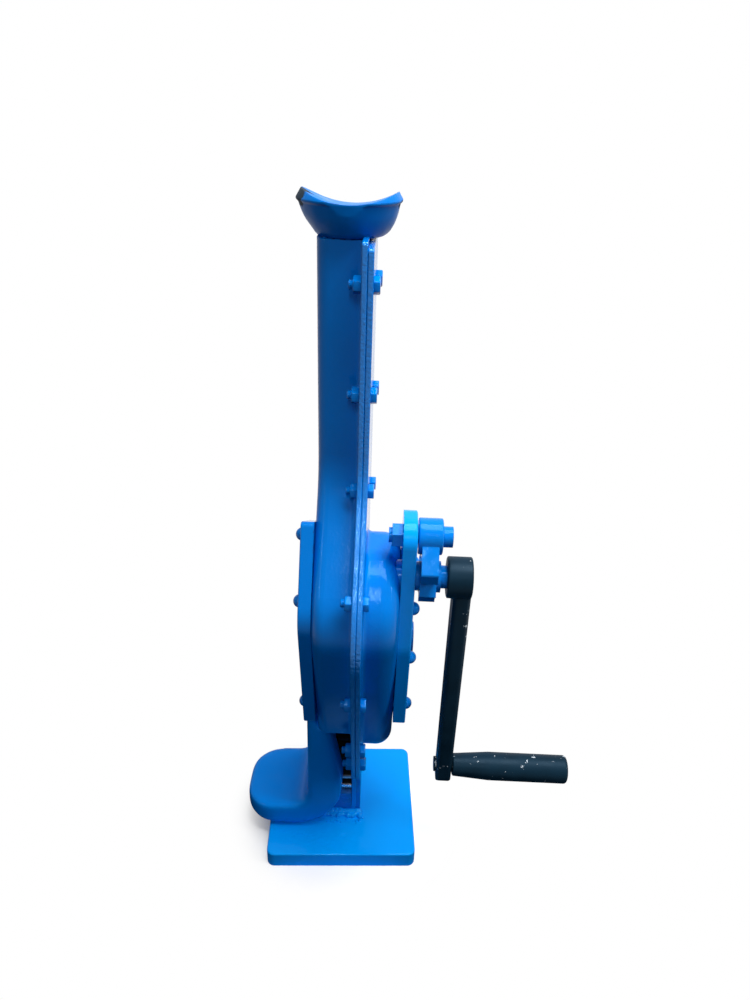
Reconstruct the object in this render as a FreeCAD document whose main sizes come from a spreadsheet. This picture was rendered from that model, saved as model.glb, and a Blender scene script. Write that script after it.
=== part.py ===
import FreeCAD, Part
import math
import os
from types import SimpleNamespace
from FreeCAD import Placement, Rotation, Vector

# Rack jack: a toothed rack stands on a base plate, and a pressed-steel housing with a
# saddle head and a low toe climbs it when the crank is turned. Frame: origin under the
# middle of the base plate, +X towards the crank, -Y towards the gear-case nose, +Z up.

# Driving sizes in millimetres (counts and ratios are plain numbers)
SIZES = dict(
    # base plate and rack
    base_width=175.0, base_depth=162.0, base_thick=20.0, base_corner=9.0, base_edge=2.0,
    base_turn=2.9, rack_thick=32.0, rack_depth=40.0, rack_right=12.0, rack_short=16.0,
    rack_plain=30.0, rack_module=5.0, rack_pinion_teeth=6, rack_shift=0.3, weld_leg=7.0,
    # tooth form shared by every gear
    pressure_angle=25.0, addendum=0.8, dedendum=1.05, backlash=0.3, first_module=2.5,
    first_pinion_teeth=9, first_gear_teeth=24, second_module=3.5, second_pinion_teeth=9,
    second_gear_teeth=24,
    # shaft axes in the housing
    pinion_axis_z=308.0, inter_axis_y=-40.0, crank_axis_y=-58.0,
    # housing shells
    seam_x=18.0, sheet=5.0, slide_gap=0.5, column_gap=0.7, left_corner=12.0, inner_corner=1.0,
    flange_half=54.0, flange_top=703.0, cover_short=5.0, wall_short=3.2, flange_fall=71.0,
    nose_y=-140.0, nose_rise=66.0, nose_round=90.0, slope_rise=116.0, flange_width=23.0,
    flange_edge=1.2, flange_corner=3.0, column_blend=60.0, root_round=4.5, beyond=30.0,
    wall_fall=121.0, case_fall=154.0, case_rise=116.0, case_rear=33.0, case_out=56.5,
    case_corner=18.0, case_inner=7.0, case_round=26.0, case_shoulder=50.0, case_rear_run=45.0,
    case_rear_drop=40.0, tongue_half=19.0, tongue_gap=1.0,
    # bearing plates, bushes and shafts
    left_plate=12.5, right_plate=13.0, plate_edge=1.5, plate_gap=9.0, bush_wall=4.0,
    running_gap=0.05, crank_journal=11.0, crank_left_journal=9.0, inter_journal=9.0,
    pinion_journal=12.0, pinion_bush_out=4.0, shaft_mid=10.0, first_face=12.5, second_face=15.0,
    gear_gap=2.0, rivet_head=6.5, rivet_shank=4.5,
    # flange fasteners
    bolt_radius=4.0, bolt_hole=4.3, bolt_flats=13.0, head_height=5.3, nut_height=6.5,
    bolt_end=4.0, bolt_margin=9.0, bolt_top=34.0, rear_bolt_top=47.0, bolt_slope=6.0,
    bolt_low=16.0, bolt_step=41.0, nose_bolt_up=29.0, nose_bolt_down=103.0, screw_head=7.0,
    screw_sink=4.0, screw_top=46.0, screw_pitch=100.0, screw_low=25.0, tongue_screw=62.0,
    # pawl and ratchet
    pawl_axis_y=-60.0, pawl_rise=140.0, pawl_hub=17.0, pawl_left=70.5, pawl_right=93.0,
    pawl_bolt=7.0, pawl_head=9.75, pawl_head_height=8.8, pawl_nut_flats=21.0,
    pawl_nut_height=10.0, ratchet_left=74.0, ratchet_face=15.5, ratchet_tip=24.5,
    ratchet_root=17.5, ratchet_teeth=8, ratchet_hub=15.0, ratchet_hub_length=4.5, pawl_clear=0.6,
    pawl_edge=1.5, pawl_spacer=4.0, finger_front=33.0, finger_top=22.0, hook_front=29.0,
    hook_back=20.0, hook_low=34.0, finger_back=4.0, finger_root=14.0,
    # crank and grip
    boss_left=100.0, boss_right=124.0, boss_radius=20.0, arm_thick=17.0, crank_radius=250.0,
    arm_top=30.0, arm_low=23.0, arm_tail=16.0, arm_tail_round=5.0, arm_chamfer=3.0, boss_edge=2.0, square=15.0, square_gap=0.05,
    end_bolt=5.0, end_bolt_length=25.0, end_washer=2.0, end_head=5.0, end_flats=16.0,
    end_bore=11.5, end_deep=8.0, grip_gap=1.0, grip_length=126.0, grip_radius=15.0,
    grip_neck=12.0, grip_taper=40.0, grip_round=3.5, grip_lead=1.0, grip_bore=6.3,
    grip_seat_gap=0.5, pin_radius=6.0, pin_head=9.5, pin_head_height=5.0, pin_rivet=8.0,
    pin_rivet_height=2.5,
    # saddle head and toe
    head_radius=43.5, head_half_y=40.0, head_neck=25.0, head_sit=3.0, head_rise=25.0,
    head_clear=1.5, head_lip=3.0, head_step=1.2, head_horn=10.0, head_bevel=5.0, head_crest=1.5,
    head_sink=9.5, head_belly=1.6, plug_length=11.0, toe_tip=-115.0, toe_half=47.0, toe_gap=4.0,
    toe_thick=33.0, toe_fall=4.0, toe_tongue=13.5, toe_right=2.0, toe_shank=-9.0, toe_waist=43.0,
    toe_tongue_rise=18.0, toe_cheek_rise=38.0, toe_cheek_lap=5.0, toe_heel=60.0, toe_shin=30.0,
    toe_crook=20.0, toe_nose=13.0, toe_corner=34.0, toe_edge=9.0, toe_fit=0.3,
)
size = SimpleNamespace(**SIZES)

# Sizes worked out from the driving ones
rack_left = size.rack_right - size.rack_thick
rack_front = -size.rack_depth / 2
rack_line = rack_front + size.addendum * size.rack_module
nose_z = size.pinion_axis_z + size.nose_rise
slope_top = nose_z + size.slope_rise
case_top = size.pinion_axis_z + size.case_rise
case_bottom = size.pinion_axis_z - size.case_fall
left_bottom = size.pinion_axis_z - size.wall_fall
flange_bottom = left_bottom - size.flange_fall
pawl_axis_z = size.pinion_axis_z + size.pawl_rise
left_out = rack_left - size.slide_gap - size.sheet
left_in = left_out + size.sheet
right_in = size.case_out - size.sheet
column_in = size.rack_depth / 2 + size.column_gap
column_out = column_in + size.sheet
plate_left_out = left_out - size.left_plate
plate_right_out = size.case_out + size.right_plate
rack_top = size.flange_top - size.rack_short
cover_top = size.flange_top - size.cover_short
wall_top = size.flange_top - size.wall_short
head_foot = size.flange_top - size.head_sit
plug_bottom = head_foot - size.plug_length + size.head_sit
toe_bottom = size.base_thick + size.toe_gap
toe_top = toe_bottom + size.toe_thick
toe_left = left_out - size.toe_tongue
toe_tongue_top = left_bottom + size.toe_tongue_rise
pinion_axis_y = rack_line - (size.rack_pinion_teeth / 2 + size.rack_shift) * size.rack_module
first_distance = size.first_module * (size.first_pinion_teeth + size.first_gear_teeth) / 2
second_distance = size.second_module * (size.second_pinion_teeth + size.second_gear_teeth) / 2
inter_axis_z = size.pinion_axis_z + math.sqrt(
    second_distance ** 2 - (size.inter_axis_y - pinion_axis_y) ** 2)
crank_axis_z = inter_axis_z + math.sqrt(
    first_distance ** 2 - (size.crank_axis_y - size.inter_axis_y) ** 2)
grip_axis_z = crank_axis_z - size.crank_radius
second_left = size.seam_x + size.gear_gap
second_right = second_left + size.second_face
first_left = second_right + size.gear_gap
first_right = first_left + size.first_face
DERIVED = dict(
    rack_left=rack_left, left_out=left_out, left_in=left_in, right_in=right_in,
    plate_left_out=plate_left_out, plate_right_out=plate_right_out,
    pinion_axis_y=pinion_axis_y, inter_axis_z=inter_axis_z, crank_axis_z=crank_axis_z,
    grip_axis_z=grip_axis_z, first_left=first_left, first_right=first_right,
    second_left=second_left, second_right=second_right, plug_bottom=plug_bottom, pawl_axis_z=pawl_axis_z,
)

doc = FreeCAD.newDocument("TrackJack")
sheet = doc.addObject("Spreadsheet::Sheet", "Sizes")
for row, (alias, value) in enumerate({**SIZES, **DERIVED}.items(), start=1):
    sheet.set(f"A{row}", alias)
    sheet.set(f"B{row}", str(value))
    sheet.setAlias(f"B{row}", alias)
doc.recompute()
WORDS = sorted({**SIZES, **DERIVED}, key=len, reverse=True)
nodes = {}


def bind(obj, **formulas):
    """Bind properties to formulas written with the sheet's own names."""
    for prop, formula in formulas.items():
        text = " ".join("Sizes." + word if word in WORDS else word for word in str(formula).split())
        obj.setExpression(prop.replace("__", "."), text)


def place_x(obj, x, y, z):
    """Turn a primitive's axis to +X and bind its foot."""
    obj.Placement = Placement(Vector(), Rotation(Vector(0, 1, 0), 90))
    bind(obj, Placement__Base__x=x, Placement__Base__y=y, Placement__Base__z=z)
    return obj


def rod(name, radius, start, end, y, z):
    obj = doc.addObject("Part::Cylinder", name)
    bind(obj, Radius=radius, Height=f"( {end} ) - ( {start} )")
    return place_x(obj, start, y, z)


def hexagon(name, flats, start, end, y, z):
    obj = doc.addObject("Part::Prism", name)
    obj.Polygon = 6
    bind(obj, Circumradius=f"{flats} / 2 / cos( 30 )", Height=f"( {end} ) - ( {start} )")
    return place_x(obj, start, y, z)


def fuse(name, pieces):
    obj = doc.addObject("Part::MultiFuse", name)
    obj.Shapes = pieces
    obj.Refine = True
    return obj


def cut(name, base, tool):
    obj = doc.addObject("Part::Cut", name)
    obj.Base = base
    obj.Tool = tool
    return obj


def group(name, pieces):
    obj = doc.addObject("Part::Compound", name)
    obj.Links = pieces
    return obj


def feature(name, shape):
    obj = doc.addObject("Part::Feature", name)
    obj.Shape = shape
    return obj


def node(label, obj):
    """A finished sub-part: its label names its file."""
    obj.Label = label
    nodes[label] = obj
    return obj


def cylinder_x(radius, start, end, y, z):
    return Part.makeCylinder(radius, end - start, Vector(start, y, z), Vector(1, 0, 0))


def rounded_wire(corners, to_vector):
    """Closed outline of straight runs whose corners (u, v, radius) are rounded by arcs."""
    runs = []
    for i, (u, v, radius) in enumerate(corners):
        here = Vector(u, v, 0)
        before = Vector(*corners[i - 1][:2], 0) - here
        after = Vector(*corners[(i + 1) % len(corners)][:2], 0) - here
        half = before.getAngle(after) / 2
        reach = radius / math.tan(half)
        start = here + before.normalize() * reach
        end = here + after.normalize() * reach
        bisector = (before + after).normalize()
        middle = here + bisector * (radius / math.sin(half) - radius)
        runs.append((start, middle, end, radius))
    edges = []
    for i, (start, middle, end, radius) in enumerate(runs):
        following = runs[(i + 1) % len(runs)][0]
        if radius:
            edges.append(Part.Arc(to_vector(start), to_vector(middle), to_vector(end)).toShape())
        if end.distanceToPoint(following) > 1e-6:
            edges.append(Part.LineSegment(to_vector(end), to_vector(following)).toShape())
    return Part.Wire(edges)


def side(point):
    """Outline drawn from the side: u is Y and v is Z."""
    return Vector(0, point.x, point.y)


def front(point):
    """Outline drawn from the front: u is X and v is Z."""
    return Vector(point.x, 0, point.y)


def side_slab(corners, start, end):
    face = Part.Face(rounded_wire(corners, side))
    face.translate(Vector(start, 0, 0))
    return face.extrude(Vector(end - start, 0, 0))


def side_edges(shape, x):
    """Edges that lie in the plane at x."""
    return [e for e in shape.Edges if abs(e.BoundBox.XMin - x) < 1e-6 and abs(e.BoundBox.XMax - x) < 1e-6]


def block(x0, x1, y0, y1, z0, z1):
    return Part.makeBox(x1 - x0, y1 - y0, z1 - z0, Vector(x0, y0, z0))


# Base plate: a thick plate with rounded corners and an eased top, welded on a little askew
def base_plate():
    body = doc.addObject("PartDesign::Body", "BasePlateBody")
    plate = body.newObject("PartDesign::AdditiveBox", "BasePlateBlock")
    bind(plate, Length="base_width", Width="base_depth", Height="base_thick")
    body.Placement = Placement(Vector(), Rotation(Vector(0, 0, 1), size.base_turn))
    turn = "base_turn * 1 deg"
    bind(body, Placement__Base__x=f"base_depth / 2 * sin( {turn} ) - base_width / 2 * cos( {turn} )",
         Placement__Base__y=f"- base_width / 2 * sin( {turn} ) - base_depth / 2 * cos( {turn} )",
         Placement__Rotation__Angle=turn)
    doc.recompute()
    corners = body.newObject("PartDesign::Fillet", "BasePlateCorners")
    upright = [f"Edge{i}" for i, e in enumerate(plate.Shape.Edges, 1) if e.BoundBox.ZLength > 1]
    corners.Base = (plate, upright)
    bind(corners, Radius="base_corner")
    doc.recompute()
    ease = body.newObject("PartDesign::Fillet", "BasePlateEase")
    top = [f"Edge{i}" for i, e in enumerate(corners.Shape.Edges, 1)
           if e.BoundBox.ZMin > size.base_thick - 0.1]
    ease.Base = (corners, top)
    bind(ease, Radius="base_edge")
    return node("base_plate", body)


# Tooth form: involute flanks worked out in the plane of the gear
def involute_angle(base, radius):
    tangent = math.sqrt(max((radius / base) ** 2 - 1, 0))
    return tangent - math.atan(tangent)


def gear_wire(module, teeth, shift, turn, thinning):
    """Outline of a spur gear in the YZ plane; turn is the direction of one tooth's middle."""
    alpha = math.radians(size.pressure_angle)
    pitch = module * teeth / 2
    base = pitch * math.cos(alpha)
    tip = pitch + (size.addendum + shift) * module
    root = pitch - (size.dedendum - shift) * module
    thick = module * (math.pi / 2 + 2 * shift * math.tan(alpha)) - thinning
    at_base = thick / (2 * pitch) + involute_angle(base, pitch)
    start = max(base, root)
    steps = 4
    radii = [start + (tip - start) * i / steps for i in range(steps + 1)]
    flank = [(r, at_base - involute_angle(base, r)) for r in radii]
    if root < base:
        flank.insert(0, (root, at_base))
    points = []
    for tooth in range(teeth):
        middle = turn + 2 * math.pi * tooth / teeth
        points += [(r, middle - a) for r, a in flank]
        points += [(r, middle + a) for r, a in reversed(flank)]
    corners = [Vector(0, r * math.cos(a), r * math.sin(a)) for r, a in points]
    return Part.makePolygon(corners + corners[:1])


def gear_solid(module, teeth, shift, turn, start, end, y, z):
    face = Part.Face(gear_wire(module, teeth, shift, turn, size.backlash / 2))
    face.translate(Vector(start, y, z))
    return face.extrude(Vector(end - start, 0, 0))


def meshing_turn(module, teeth, turn, mate_teeth, heading):
    """Direction of a tooth of the mate that fits a gap of the first gear, heading towards it."""
    offset = module * teeth / 2 * (turn - heading)
    pitch = math.pi * module
    return heading + math.pi + (pitch / 2 - offset) / (module * mate_teeth / 2)


axis_crank = (size.crank_axis_y, crank_axis_z)
axis_inter = (size.inter_axis_y, inter_axis_z)
axis_pinion = (pinion_axis_y, size.pinion_axis_z)


def heading(start, end):
    return math.atan2(end[1] - start[1], end[0] - start[0])


turn_crank = heading(axis_crank, axis_inter)
turn_inter_gear = meshing_turn(size.first_module, size.first_pinion_teeth, turn_crank,
                               size.first_gear_teeth, heading(axis_crank, axis_inter))
turn_inter_pinion = heading(axis_inter, axis_pinion)
turn_main = meshing_turn(size.second_module, size.second_pinion_teeth, turn_inter_pinion,
                         size.second_gear_teeth, heading(axis_inter, axis_pinion))
turn_rack_pinion = 0.0


# Rack: a bar with trapezoid teeth towards the gear case, from below the pinion to its top
def rack():
    pitch = math.pi * size.rack_module
    lean = math.tan(math.radians(size.pressure_angle))
    tip = rack_front
    root = rack_line + size.dedendum * size.rack_module
    half = pitch / 4
    below = int((size.pinion_axis_z - size.base_thick - size.rack_plain) / pitch)
    first = size.pinion_axis_z - (below - 0.5) * pitch
    count = int((rack_top - first - pitch / 2) / pitch) + 1
    points = [(size.rack_depth / 2, size.base_thick), (tip, size.base_thick)]
    for i in range(count):
        gap = first + i * pitch - pitch / 2
        wide = half + (rack_line - tip) * lean
        narrow = half - (root - rack_line) * lean
        points += [(tip, gap - wide), (root, gap - narrow), (root, gap + narrow), (tip, gap + wide)]
    points += [(tip, rack_top), (size.rack_depth / 2, rack_top)]
    corners = [Vector(rack_left, y, z) for y, z in points]
    bar = Part.Face(Part.makePolygon(corners + corners[:1])).extrude(Vector(size.rack_thick, 0, 0))
    return node("rack", feature("RackBar", bar))


def foot_weld():
    leg = size.weld_leg
    low = Part.makePolygon([
        Vector(rack_left - leg, rack_front - leg, size.base_thick),
        Vector(size.rack_right, rack_front - leg, size.base_thick),
        Vector(size.rack_right, -rack_front + leg, size.base_thick),
        Vector(rack_left - leg, -rack_front + leg, size.base_thick),
        Vector(rack_left - leg, rack_front - leg, size.base_thick)])
    high = Part.makePolygon([
        Vector(rack_left, rack_front, size.base_thick + leg),
        Vector(size.rack_right, rack_front, size.base_thick + leg),
        Vector(size.rack_right, -rack_front, size.base_thick + leg),
        Vector(rack_left, -rack_front, size.base_thick + leg),
        Vector(rack_left, rack_front, size.base_thick + leg)])
    bead = Part.makeLoft([low, high], True, True)
    core = block(rack_left, size.rack_right, rack_front, -rack_front, 0, rack_top)
    return node("foot_weld", feature("FootWeld", bead.cut(core)))


# Flange outline, seen from the side, and the wall outlines that follow it
def flange_outline(top):
    half = size.flange_half
    soft = size.flange_corner
    return [(half, top, soft), (-half, top, soft), (-half, slope_top, size.nose_round),
            (size.nose_y, nose_z, size.nose_round), (-half, flange_bottom, soft),
            (half, flange_bottom, soft)]


def inset_nose(depth):
    """Nose corner and upper slope's end of a wall that runs inside the flange edge."""
    up = Vector(-size.flange_half - size.nose_y, slope_top - nose_z, 0).normalize()
    down = Vector(-size.flange_half - size.nose_y, flange_bottom - nose_z, 0).normalize()
    half = up.getAngle(down) / 2
    corner = Vector(size.nose_y, nose_z, 0) + (up + down).normalize() * (depth / math.sin(half))
    return corner, up, down


def along(corner, direction, u=None, v=None):
    if u is None:
        return corner.x + direction.x * (v - corner.y) / direction.y
    return corner.y + direction.y * (u - corner.x) / direction.x


def left_wall(depth, column):
    corner, up, down = inset_nose(depth)
    low = left_bottom - size.beyond
    high = size.flange_top + size.beyond
    return [(column, high, 0), (-column, high, 0), (-column, along(corner, up, u=-column), size.column_blend),
            (corner.x, corner.y, size.nose_round - depth),
            (along(corner, down, v=low), low, 0), (column, low, 0)]


def case_wall(inset):
    depth = size.flange_width + inset
    corner, up, down = inset_nose(depth)
    top = case_top - inset
    low = case_bottom + inset
    rear = size.case_rear - inset
    soft = size.case_round
    return [(rear, top - size.case_rear_drop, soft - inset), (rear - size.case_rear_run, top, soft),
            (along(corner, up, v=top), top, size.case_shoulder - inset),
            (corner.x, corner.y, size.nose_round - depth),
            (along(corner, down, v=low), low, soft - inset), (rear, low, soft - inset)]


def bores(start, end, extra):
    """Holes for the three shafts' bushes."""
    return [cylinder_x(radius + size.bush_wall + extra, start, end, y, z)
            for radius, (y, z) in ((size.crank_left_journal if start < 0 else size.crank_journal, axis_crank),
                                   (size.inter_journal, axis_inter), (size.pinion_journal, axis_pinion))]


# Bolts run down both edges of the flange, with two on the nose and two at its foot
FRONT_COLUMN_BOLTS = 3
REAR_BOLTS = 6


def spaced(start, end, count):
    return [start + (end - start) * i / (count - 1) for i in range(count)]


bolt_y = size.flange_half - size.bolt_margin
bolt_foot = flange_bottom + size.bolt_low
nose_corner, nose_up, nose_down = inset_nose(size.bolt_margin)
nose_high = nose_z + size.nose_bolt_up
nose_low = nose_z - size.nose_bolt_down
foot_high = bolt_foot + size.bolt_step
BOLTS = [(-bolt_y, z) for z in spaced(size.flange_top - size.bolt_top, slope_top - size.bolt_slope,
                                      FRONT_COLUMN_BOLTS)]
BOLTS += [(along(nose_corner, nose_up, v=nose_high), nose_high)]
BOLTS += [(along(nose_corner, nose_down, v=z), z) for z in (nose_low, foot_high)]
BOLTS += [(-bolt_y, bolt_foot)]
BOLTS += [(bolt_y, z) for z in spaced(size.flange_top - size.rear_bolt_top, bolt_foot, REAR_BOLTS)]


def above_pinion(table):
    """Places given from the rack pinion's axis height upwards, as heights in the frame."""
    return [(y, z + size.pinion_axis_z, *rest) for y, z, *rest in table]


LEFT_RIVETS = above_pinion([(-44, 127), (-74, 71), (-50, -78), (-8, 100), (5, 22), (-8, -76)])
RIGHT_RIVETS = above_pinion([(-73, 67), (-70, 5), (-49, -76), (-12, 80), (-2, 12), (0, -40)])
# Countersunk screws hold the guide strip to the cover, and one hexagon screw its tongue
COLUMN_SCREWS = [size.flange_top - size.screw_top - i * size.screw_pitch for i in range(3)]
COLUMN_SCREWS += [size.base_thick + size.screw_low]
TONGUE_SCREW = size.base_thick + size.tongue_screw


def bolt_holes():
    return [cylinder_x(size.bolt_hole, size.seam_x - size.beyond, size.seam_x + size.beyond, y, z)
            for y, z in BOLTS]


def root_edges(shape, flange, x, low, high):
    """Edges at x where a wall stands on its flange, between two heights."""
    rim = Part.Compound(side_edges(flange, x))
    found = []
    for edge in side_edges(shape, x):
        middle = edge.valueAt((edge.FirstParameter + edge.LastParameter) / 2)
        if low < middle.z < high and Part.Vertex(middle).distToShape(rim)[0] > size.flange_corner:
            found.append(edge)
    return found


def rivet_holes(places, start, end):
    return [cylinder_x(size.rivet_shank, start, end, y, z) for y, z in places]


def eased_sheet(corners, start, end):
    """Sheet with its rim rounded on both faces, so that the two flanges show a seam."""
    plate = side_slab(corners, start, end)
    return plate.makeFillet(size.flange_edge, side_edges(plate, start) + side_edges(plate, end))


# Left shell: the deep pressing that holds the rack, with its flange at the seam
def left_shell():
    outer = side_slab(left_wall(size.flange_width, column_out), left_out, size.seam_x)
    outer = outer.makeFillet(size.left_corner, side_edges(outer, left_out))
    inner = side_slab(left_wall(size.flange_width + size.sheet, column_in), left_in, size.seam_x + 1)
    inner = inner.makeFillet(size.inner_corner, side_edges(inner, left_in))
    reach = -size.nose_y + size.beyond
    span = block(left_out - 1, size.seam_x, -reach, reach, left_bottom, wall_top)
    face_x = size.seam_x - size.sheet
    flange = eased_sheet(flange_outline(size.flange_top), face_x, size.seam_x)
    shell = outer.common(span).fuse(flange)
    roots = root_edges(shell, flange, face_x, left_bottom + 1, wall_top - 1)
    shell = shell.makeFillet(size.root_round, roots)
    slot = block(face_x - 1, size.seam_x + 1, -column_in, column_in, 0, left_bottom + 1)
    notch = size.head_neck + size.head_clear
    neck = block(face_x - 1, size.seam_x + 1, -notch, notch, wall_top, size.flange_top + 1)
    shell = shell.cut([inner, slot] + bolt_holes() + bores(left_out - 1, left_in + 1, 0)
                      + rivet_holes(LEFT_RIVETS, left_out - 1, left_in + 1))
    return node("left_shell", feature("LeftShell", shell.cut(neck).removeSplitter()))


# Right shell: a flat cover up the column that bulges into the gear case
def right_shell():
    outer = side_slab(case_wall(0), size.seam_x, size.case_out)
    outer = outer.makeFillet(size.case_corner, side_edges(outer, size.case_out))
    inner = side_slab(case_wall(size.sheet), size.seam_x - 1, right_in)
    inner = inner.makeFillet(size.case_inner, side_edges(inner, right_in))
    face_x = size.seam_x + size.sheet
    cover = eased_sheet(flange_outline(cover_top), size.seam_x, face_x)
    shell = cover.fuse(outer)
    roots = root_edges(shell, cover, face_x, case_bottom - 1, case_top + 1)
    shell = shell.makeFillet(size.root_round, roots)
    tongue = block(size.seam_x, face_x, -size.tongue_half, size.tongue_half,
                   size.base_thick + size.tongue_gap, flange_bottom + 1)
    screws = [cylinder_x(size.bolt_radius, size.seam_x - 1, face_x + 1, 0, z)
              for z in COLUMN_SCREWS + [TONGUE_SCREW]]
    screws += [Part.makeCone(size.bolt_radius, size.screw_head, size.screw_sink,
                             Vector(face_x - size.screw_sink, 0, z), Vector(1, 0, 0)) for z in COLUMN_SCREWS]
    shell = shell.fuse(tongue).cut([inner] + bolt_holes() + screws
                                   + bores(right_in - 1, size.case_out + 1, 0)
                                   + rivet_holes(RIGHT_RIVETS, right_in - 1, size.case_out + 1))
    return node("right_shell", feature("RightShell", shell.removeSplitter()))


# Bearing plates: thick plates riveted on both sides, bored for the shafts
plate_low = toe_tongue_top + size.plate_gap - size.pinion_axis_z
LEFT_PLATE = above_pinion([(-58, 149, 5), (-101, 62, 45), (-67, plate_low, 8), (-6, plate_low, 10),
                           (18, -8, 40), (18, 72, 40), (2, 116, 10)])
RIGHT_PLATE = above_pinion([(-83, 159, 21), (-84, 22, 60), (-64, -93, 6), (-4, -93, 10), (12, -18, 40),
                            (12, 77, 40), (-40, 159, 21)])


def left_bearing_plate():
    plate = side_slab(LEFT_PLATE, plate_left_out, left_out)
    plate = plate.makeFillet(size.plate_edge, side_edges(plate, plate_left_out))
    holes = bores(plate_left_out - 1, left_out + 1, 0)
    holes += rivet_holes(LEFT_RIVETS, plate_left_out - 1, left_out + 1)
    return node("left_bearing_plate", feature("LeftBearingPlate", plate.cut(holes)))


def right_bearing_plate():
    plate = side_slab(RIGHT_PLATE, size.case_out, plate_right_out)
    plate = plate.makeFillet(size.plate_edge, side_edges(plate, plate_right_out))
    pivot = cylinder_x(size.pawl_bolt, size.case_out - 1, plate_right_out + 1,
                       size.pawl_axis_y, pawl_axis_z)
    holes = bores(size.case_out - 1, plate_right_out + 1, 0)
    holes += rivet_holes(RIGHT_RIVETS, size.case_out - 1, plate_right_out + 1)
    return node("right_bearing_plate", feature("RightBearingPlate", plate.cut(holes + [pivot])))


def rivets(label, places, head_x, shank_end, outward):
    """Round-head rivets: a dome outside the plate and a shank through plate and shell."""
    pieces = []
    for i, (y, z) in enumerate(places, 1):
        dome = doc.addObject("Part::Sphere", f"{label}_dome{i}")
        dome.Angle1 = 0
        bind(dome, Radius="rivet_head")
        dome.Placement = Placement(Vector(), Rotation(Vector(0, 1, 0), 90 * outward))
        bind(dome, Placement__Base__x=head_x, Placement__Base__y=y, Placement__Base__z=z)
        ends = (head_x, shank_end) if outward < 0 else (shank_end, head_x)
        shank = rod(f"{label}_shank{i}", "rivet_shank", ends[0], ends[1], y, z)
        pieces.append(fuse(f"{label}_rivet{i}", [dome, shank]))
    return node(label, group(label.title(), pieces))


def bushes(label, rows):
    pieces = []
    for name, radius, start, end, y, z in rows:
        outer = rod(f"{name}_outer", f"{radius} + bush_wall", start, end, y, z)
        hole = rod(f"{name}_hole", f"{radius} + running_gap", start, end, y, z)
        pieces.append(cut(name, outer, hole))
    return node(label, group(label.title(), pieces))


def flange_bolts():
    pieces = []
    nuts = []
    for i, (y, z) in enumerate(BOLTS, 1):
        head = hexagon(f"bolt_head{i}", "bolt_flats", "seam_x + sheet",
                       "seam_x + sheet + head_height", y, z)
        shank = rod(f"bolt_shank{i}", "bolt_radius", "seam_x - sheet - nut_height - bolt_end",
                    "seam_x + sheet", y, z)
        pieces.append(fuse(f"bolt{i}", [head, shank]))
        nut = hexagon(f"nut_body{i}", "bolt_flats", "seam_x - sheet - nut_height", "seam_x - sheet", y, z)
        hole = rod(f"nut_hole{i}", "bolt_radius", "seam_x - sheet - nut_height", "seam_x - sheet", y, z)
        nuts.append(cut(f"nut{i}", nut, hole))
    node("flange_bolts", group("FlangeBolts", pieces))
    node("flange_nuts", group("FlangeNuts", nuts))


# Guide strip: closes the rack's channel at the seam, screwed to the cover
def guide_strip():
    strip = doc.addObject("Part::Box", "GuideBar")
    bind(strip, Length="seam_x - rack_right - slide_gap", Width="2 * tongue_half",
         Height="plug_bottom - base_thick - tongue_gap")
    bind(strip, Placement__Base__x="rack_right + slide_gap", Placement__Base__y="- tongue_half",
         Placement__Base__z="base_thick + tongue_gap")
    places = COLUMN_SCREWS + [TONGUE_SCREW]
    holes = [rod(f"guide_hole{i}", "bolt_radius", "rack_right + slide_gap", "seam_x", 0, z)
             for i, z in enumerate(places, 1)]
    node("guide_strip", cut("GuideStrip", strip, group("GuideHoles", holes)))
    screws = []
    for i, z in enumerate(COLUMN_SCREWS, 1):
        cone = doc.addObject("Part::Cone", f"screw_cone{i}")
        bind(cone, Radius1="bolt_radius", Radius2="screw_head", Height="screw_sink")
        place_x(cone, "seam_x + sheet - screw_sink", 0, z)
        shank = rod(f"screw_shank{i}", "bolt_radius", "rack_right + slide_gap",
                    "seam_x + sheet - screw_sink", 0, z)
        screws.append(fuse(f"screw{i}", [cone, shank]))
    head = hexagon("tongue_screw_head", "bolt_flats", "seam_x + sheet",
                   "seam_x + sheet + head_height", 0, TONGUE_SCREW)
    shank = rod("tongue_screw_shank", "bolt_radius", "rack_right + slide_gap",
                "seam_x + sheet", 0, TONGUE_SCREW)
    screws.append(fuse("tongue_screw", [head, shank]))
    node("guide_screws", group("GuideScrews", screws))


# Saddle head: a round forged cup with two horns and a trough between them, plugged into the column
def head():
    foot = head_foot
    rim = foot + size.head_rise
    top = rim + size.head_horn
    wide = size.head_radius
    under = Vector(wide - size.head_step, 0, rim - size.head_lip)
    neck = Vector(size.head_neck, 0, foot)
    outward = Vector(under.z - neck.z, 0, neck.x - under.x).normalize()
    belly = Part.Arc(neck, (neck + under) / 2 + outward * size.head_belly, under).toShape()
    points = [under, Vector(wide, 0, rim - size.head_lip + size.head_step), Vector(wide, 0, rim),
              Vector(wide - size.head_bevel, 0, top), Vector(0, 0, top), Vector(0, 0, foot), neck]
    runs = [Part.LineSegment(a, b).toShape() for a, b in zip(points, points[1:])]
    cup = Part.Face(Part.Wire([belly] + runs)).revolve(Vector(0, 0, 0), Vector(0, 0, 1), 360)
    deep = size.head_half_y
    cup = cup.common(block(-wide, wide, -deep, deep, foot, top))
    crest = wide - size.head_bevel - size.head_crest
    trough_radius = (crest ** 2 + size.head_sink ** 2) / (2 * size.head_sink)
    valley = top - size.head_sink
    trough = Part.makeCylinder(trough_radius, 4 * deep, Vector(0, -2 * deep, valley + trough_radius),
                               Vector(0, 1, 0))
    plug = block(left_in + size.slide_gap, size.rack_right, rack_front, -rack_front, plug_bottom, foot + 1)
    return node("head", feature("Head", cup.cut(trough).fuse(plug).removeSplitter()))


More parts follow.
